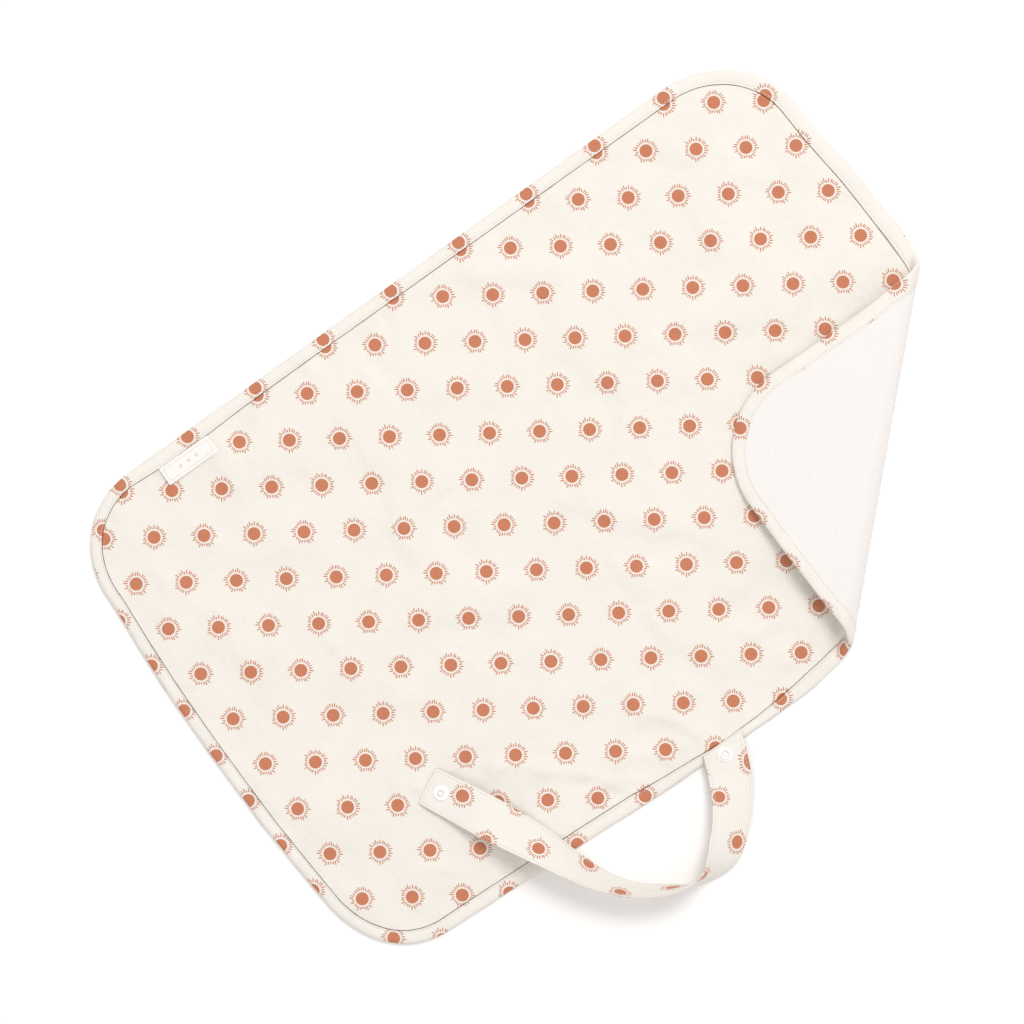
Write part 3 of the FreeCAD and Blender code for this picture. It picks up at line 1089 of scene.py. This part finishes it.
def strap_width_at(along):
    """Half width: a little narrower towards the tip, with rounded end corners."""
    narrowing = smoothstep((along - STRAP_LENGTH + STRAP_TAPER_LENGTH) / STRAP_TAPER_LENGTH)
    half = STRAP_WIDTH / 2 * (1 - STRAP_TAPER * narrowing)
    past = np.maximum(STRAP_END_RADIUS - (STRAP_LENGTH - along), 0)
    return half - STRAP_END_RADIUS + np.sqrt(np.maximum(STRAP_END_RADIUS**2 - past**2, 0))


def strap_surface(along, across, side):
    """Height over the strap's mid-plane of its top (side 1) or underside (side -1)."""
    from_edge = (1 - abs(across)) * STRAP_WIDTH / 2
    from_tip = STRAP_LENGTH - along
    hem = min(abs(from_edge - STRAP_HEM), abs(from_tip - STRAP_HEM))
    rounding = math.sqrt(max(0.0, 1 - max(0.0, 1 - min(from_edge, from_tip + 0.3 * MM) / (0.9 * MM)) ** 2))
    valley = 0.22 * MM * math.exp(-((hem / (0.55 * MM)) ** 2))
    return side * (STRAP_THICKNESS / 2 * rounding - valley * rounding)


def strap_ring():
    """Places across the strap's top, as shares of its half width."""
    edge = [1.0, 0.985, 0.955, 0.92, 0.895, 0.865, 0.83, 0.78]
    return sorted([-e for e in edge] + edge + list(np.linspace(-0.66, 0.66, 11)))


def strap_dip(along):
    """The strap rises steeply out of the seam beside the printed face."""
    return -STRAP_DIP * (1 - np.sqrt(np.clip((along - STRAP_ROOT) / STRAP_DIP_LENGTH, 0, 1)))


def strap_waver(along, across):
    """How the strap cups and creases, at a place along it and a share of its half width."""
    cup = STRAP_CUP * noise.noise(Vector((along / 0.045, across * 0.9, 4.2)))
    return cup + STRAP_CREASE * noise.noise(Vector((along / 0.011, across * 1.5, 9.1)))


def strap_points():
    rows = np.concatenate([
        STRAP_ROOT + np.arange(12) ** 2 * 0.022 * MM,
        np.arange(STRAP_ROOT + 4 * MM, STRAP_LENGTH - 4 * MM, STRAP_STEP),
        STRAP_LENGTH - np.array([3.6, 3.1, 2.7, 2.3, 1.9, 1.5, 1.0, 0.6, 0.3, 0.08]) * MM,
    ])
    ring = strap_ring()
    points, flat = [], []
    for along in rows:
        half = float(strap_width_at(along))
        for side, order in ((1, ring), (-1, ring[::-1][1:-1])):
            for across in order:
                height = strap_surface(along, across, side) + strap_waver(along, across)
                points.append((along, across * half, height))
                flat.append((along, across * half, side))
    return np.array(points), np.array(flat), len(rows), len(ring) * 2 - 2


def strap_run_of(along):
    """The piece that a place along the strap belongs to: pieces meet half-way along each run."""
    borders = [(a + b) / 2 for a, b in zip(STRAP_STARTS[:-2], STRAP_STARTS[1:-1])]
    return int(np.searchsorted(borders, along))


def strap_blend(piece, index):
    """Bakes the strap piece's placement into its mesh; the ends of its bend are worked out but not used."""
    if index == 0:
        near, far = STRAP_ROOT, STRAP_ROOT_REACH
    else:
        before, start, after = STRAP_STARTS[index - 1 : index + 2]
        reach = min(start - before, after - start) / 2
        near, far = start - reach, start + reach
    ends = lay_strap(np.array([(near, 0.0, 0.0), (far, 0.0, 0.0)]))
    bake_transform(piece)


def strap_piece(name, points, flat, normals, faces, index, material):
    mesh = submesh(name, points, flat, strap_print_place(flat), normals, faces)
    mesh.materials.append(material)
    piece = new_object(name, mesh)
    strap_blend(piece, index)
    return piece


def strap_print_place(flat):
    """The strap's print: each side is cut from another part of the printed cloth."""
    placed = np.zeros_like(flat)
    for axis in (0, 1):
        shift = np.interp(flat[:, 0], STRAP_PRINT_SHIFTS[:, 0], STRAP_PRINT_SHIFTS[:, axis + 1])
        placed[:, axis] = flat[:, axis] - shift
    under = flat[:, 2] < 0
    from_sun = np.column_stack([STRAP_LENGTH - flat[:, 0], -flat[:, 1]]) - STRAP_BACK_SUN
    cosine, sine = math.cos(STRAP_BACK_TURN), math.sin(STRAP_BACK_TURN)
    placed[under, 0] = (from_sun @ (-sine, cosine))[under]
    placed[under, 1] = (from_sun @ (cosine, sine))[under]
    return placed


def strap():
    points, flat, rows, ring = strap_points()
    points[:, 2] += strap_dip(points[:, 0])
    placed = lay_strap(points)
    faces = ring_quads(rows, ring)
    normals = vertex_normals(placed, faces)
    runs = [strap_run_of(points[f, 0].mean()) for f in faces]
    for index in range(len(STRAP_FRAMES)):
        chosen = [f for f, r in zip(faces, runs) if r == index]
        lines = np.unique(np.concatenate(chosen)) // ring
        chosen.append(list(lines[0] * ring + np.arange(ring)))
        chosen.append(list(lines[-1] * ring + np.arange(ring))[::-1])
        name = f"strap_{index + 1}"
        piece = strap_piece(name, placed, flat, normals, chosen, index, STRAP)
        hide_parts(f"strap_run_{index + 1}")


def strap_stitch_lines():
    """The rows of stitches on one face: along both edges and across the tip."""
    half = STRAP_WIDTH / 2 - STRAP_HEM
    lines = []
    count = int((STRAP_LENGTH - STRAP_HEM - 3 * MM) / STRAP_PITCH)
    along = STRAP_LENGTH - STRAP_HEM - (np.arange(count) + 0.5) * STRAP_PITCH
    for side in (-1, 1):
        edge = strap_width_at(along) / (STRAP_WIDTH / 2) * half * side
        lines.append(np.column_stack([along, edge]))
    across = int(2 * half / STRAP_PITCH)
    line = (np.arange(across) + 0.5) / across * 2 - 1
    lines.append(np.column_stack([np.full(across, STRAP_LENGTH - STRAP_HEM), line * half * 0.93]))
    return lines


def strap_stitching():
    points, faces = [], []
    for side in (1, -1):
        for line in strap_stitch_lines():
            centres = []
            for along, across in line:
                share = across / float(strap_width_at(along))
                height = strap_surface(along, share, side) + strap_waver(along, share)
                centres.append((along, across, height + float(strap_dip(along))))
            centres = np.array(centres)
            direction = (0.0, 1.0, 0.0) if abs(np.ptp(centres[:, 0])) < 1e-6 else (1.0, 0.0, 0.0)
            alongs = np.tile(direction, (len(centres), 1))
            ups = np.tile([0.0, 0.0, float(side)], (len(centres), 1))
            made, joined = stitch_row(centres, alongs, ups)
            faces.append(joined + sum(len(p) for p in points))
            points.append(made)
    points, faces = np.concatenate(points), np.concatenate(faces)
    placed = lay_strap(points)
    normals = vertex_normals(placed, faces)
    runs = [strap_run_of(middle[0]) for middle in stitch_middles(points, faces)]
    for index in range(len(STRAP_FRAMES)):
        chosen = [f for f, r in zip(faces, runs) if r == index]
        strap_piece(f"strap_stitching_{index + 1}", placed, points, normals, chosen, index, THREAD)


# ---------------------------------------------------------------- label


def label():
    """A folded ribbon, sewn in along its upper edge, one end standing a little proud."""
    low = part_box("woven_label")[0]
    size = LABEL_SIZE
    columns, rows = 46, 18
    points, flat = [], []
    for side in (1, -1):
        for row in range(rows + 1):
            for column in range(columns + 1):
                u, v = column / columns, row / rows
                lift = LABEL_LIFT * smoothstep((u - 0.55) / 0.45) * (1 - v) ** 1.7
                lift += LABEL_WAVE * math.sin(u * 9) * (1 - v) ** 1.7
                height = low.z + size.z / 2 + lift + side * size.z / 2 * (1 if 0 < v < 1 else 0.3)
                points.append((low.x + size.x * u, low.y + size.y * v, height))
                flat.append((size.x * u, size.y * v, side * MM))
    faces, width = [], columns + 1
    layer = width * (rows + 1)
    for base, flip in ((0, False), (layer, True)):
        for row in range(rows):
            for column in range(columns):
                a = base + row * width + column
                quad = [a, a + 1, a + width + 1, a + width]
                faces.append(quad[::-1] if flip else quad)
    rim = list(range(columns)) + [columns + r * width for r in range(rows)]
    rim += [rows * width + columns - c for c in range(columns)] + [(rows - r) * width for r in range(rows)]
    for i, a in enumerate(rim):
        b = rim[(i + 1) % len(rim)]
        faces.append([b, a, a + layer, b + layer])
    points = np.array(points)
    flat = np.array(flat)
    mesh = submesh("label", points, flat, flat, vertex_normals(points, faces), faces)
    mesh.materials.append(LABEL)
    piece = new_object("label_ribbon", mesh)
    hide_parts("woven_label")
    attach(piece, "label")


def label_material(size):
    """Satin ribbon with a plain woven frame and three dots."""
    nodes = Nodes("label_ribbon")
    place = nodes.place("flat")
    parts = nodes.add("ShaderNodeSeparateXYZ", place).outputs
    aside = [
        nodes.math("ABSOLUTE", nodes.math("SUBTRACT", parts[axis], size[axis] * 500)) for axis in (0, 1)
    ]
    frame_line = nodes.math(
        "MAXIMUM",
        nodes.math("SUBTRACT", aside[0], size[0] * 500 - 2.6),
        nodes.math("SUBTRACT", aside[1], size[1] * 500 - 2.6),
    )
    frame_mask = nodes.soft_edge(nodes.math("ABSOLUTE", frame_line), 0.28, 0.14)
    dots = None
    for x in (-7.5, 0, 7.5):
        moved = nodes.vector("SUBTRACT", place, (size[0] * 500 + x, size[1] * 500, 0))
        flat = nodes.vector("MULTIPLY", moved, (1, 1, 0))
        gone = nodes.add("ShaderNodeVectorMath", flat, operation="LENGTH").outputs["Value"]
        dot = nodes.soft_edge(gone, 1.5, 0.2)
        dots = dot if dots is None else nodes.math("ADD", dots, dot)
    mask = nodes.math("ADD", frame_mask, dots, clamp=True)
    top = nodes.math("GREATER_THAN", parts[2], 0.0)
    mask = nodes.math("MULTIPLY", mask, top)
    weave = weave_height(nodes, place, 0.4)
    colour = nodes.mix(nodes.math("MULTIPLY", mask, 0.75), (0.88, 0.865, 0.84), (0.78, 0.57, 0.45))
    nodes.set(Base_Color=colour, Roughness=0.42, Normal=nodes.bump(weave, 0.25, 0.0002))
    nodes.set(Sheen_Weight=0.15)
    return nodes.material


# ---------------------------------------------------------------- stage


def camera():
    """Straight above, from far away, turned as the mat is seen."""
    data = bpy.data.cameras.new("camera")
    data.lens = 200
    data.sensor_width = 36
    data.clip_end = 50
    eye = new_object("camera", data)
    eye.location = (*VIEW_MIDDLE, VIEW_WIDTH * data.lens / data.sensor_width)
    eye.rotation_euler = (0, 0, math.radians(VIEW_TURN))
    bpy.context.scene.camera = eye


def area_light(name, location, size, power, colour=(1, 1, 1)):
    data = bpy.data.lights.new(name, "AREA")
    data.size = size
    data.energy = power
    data.color = colour
    lamp = new_object(name, data)
    lamp.location = location
    aim = Vector((0, 0, 0)) - Vector(location)
    lamp.rotation_euler = aim.to_track_quat("-Z", "Y").to_euler()


def stage():
    nodes = Nodes("pale_floor")
    place = nodes.add("ShaderNodeTexCoord").outputs["Object"]
    tone = nodes.noise(place, 6.0, 2.0)
    nodes.set(Base_Color=nodes.mix(tone, (0.955, 0.945, 0.94), (0.96, 0.95, 0.945)), Roughness=0.9)
    nodes.set(Specular_IOR_Level=0.1)
    corners = [(FLOOR_HALF * x, FLOOR_HALF * y, 0) for x, y in ((-1, -1), (1, -1), (1, 1), (-1, 1))]
    mesh = new_mesh("floor", corners, [(0, 1, 2, 3)])
    mesh.materials.append(nodes.material)
    floor = new_object("floor", mesh)
    floor.location.z = CAD_LOW.z - FLOOR_DROP
    world = bpy.data.worlds.new("studio")
    world.use_nodes = True
    background = world.node_tree.nodes["Background"]
    background.inputs["Color"].default_value = (1, 0.985, 0.97, 1)
    background.inputs["Strength"].default_value = 0.68
    bpy.context.scene.world = world
    area_light("key", location=(2.1, 1.1, 3.9), size=1.8, power=98, colour=(1, 0.985, 0.965))
    area_light("fill", location=(-2.6, -1.2, 4.5), size=2.6, power=36)
    bpy.context.scene.view_settings.view_transform = "Standard"


# ---------------------------------------------------------------- making it all


camera()
stage()

PRINTED = cloth_material("printed_cloth", CREAM)
BINDING = cloth_material("binding_cloth", BINDING_CREAM, 0.05)
STRAP = cloth_material("strap_cloth", BINDING_CREAM, 0.03)
FLEECE = fleece_material()
THREAD = thread_material()
RESIN = resin_material()
LABEL_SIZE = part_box("woven_label")[1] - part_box("woven_label")[0]
LABEL = label_material(LABEL_SIZE)

printed_face(cloth_swell())
fleece_back()
binding()
topstitching()
strap()
strap_stitching()
label()


def stand_for_cad():
    """Each region's pieces stand for the CAD's layers there."""
    nodes = frame["nodes"]
    for region, parts in REGIONS.items():
        for layer, hidden in LAYERS.items():
            named = []
            for part in parts:
                for kind in hidden:
                    named += [n for n in nodes if n == f"{kind}_{part}" or n.startswith(f"{kind}_{part}_")]
            if named:
                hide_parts(*named)


def flat_size(piece):
    """The sides of the smallest upright or turned rectangle round the piece's flat cloth."""
    flat = np.array([tuple(v.vector) for v in piece.data.attributes["flat"].data])[:, :2]
    best = None
    for degrees in range(0, 90, 3):
        turn = math.radians(degrees)
        turned = flat @ np.array([[math.cos(turn), -math.sin(turn)], [math.sin(turn), math.cos(turn)]])
        size = np.ptp(turned, axis=0)
        if best is None or size.prod() < best.prod():
            best = size
    return best


def cloth_area(piece):
    """The piece's area as it lies."""
    return sum(face.area for face in piece.data.polygons)


def declare_cloth():
    for region in REGIONS:
        face, back = PARTS["printed_face_" + region], PARTS["fleece_back_" + region]
        size = flat_size(back)
        float(np.clip(cloth_area(back), 0.3 * size.prod(), size.prod()))


stand_for_cad()
declare_cloth()
for node in ("snap_base_cap", "snap_base_socket", "snap_tip_cap", "snap_tip_stud"):
    frame["nodes"][node].data.materials.clear()
    frame["nodes"][node].data.materials.append(RESIN)
    frame["nodes"][node].data.shade_smooth()
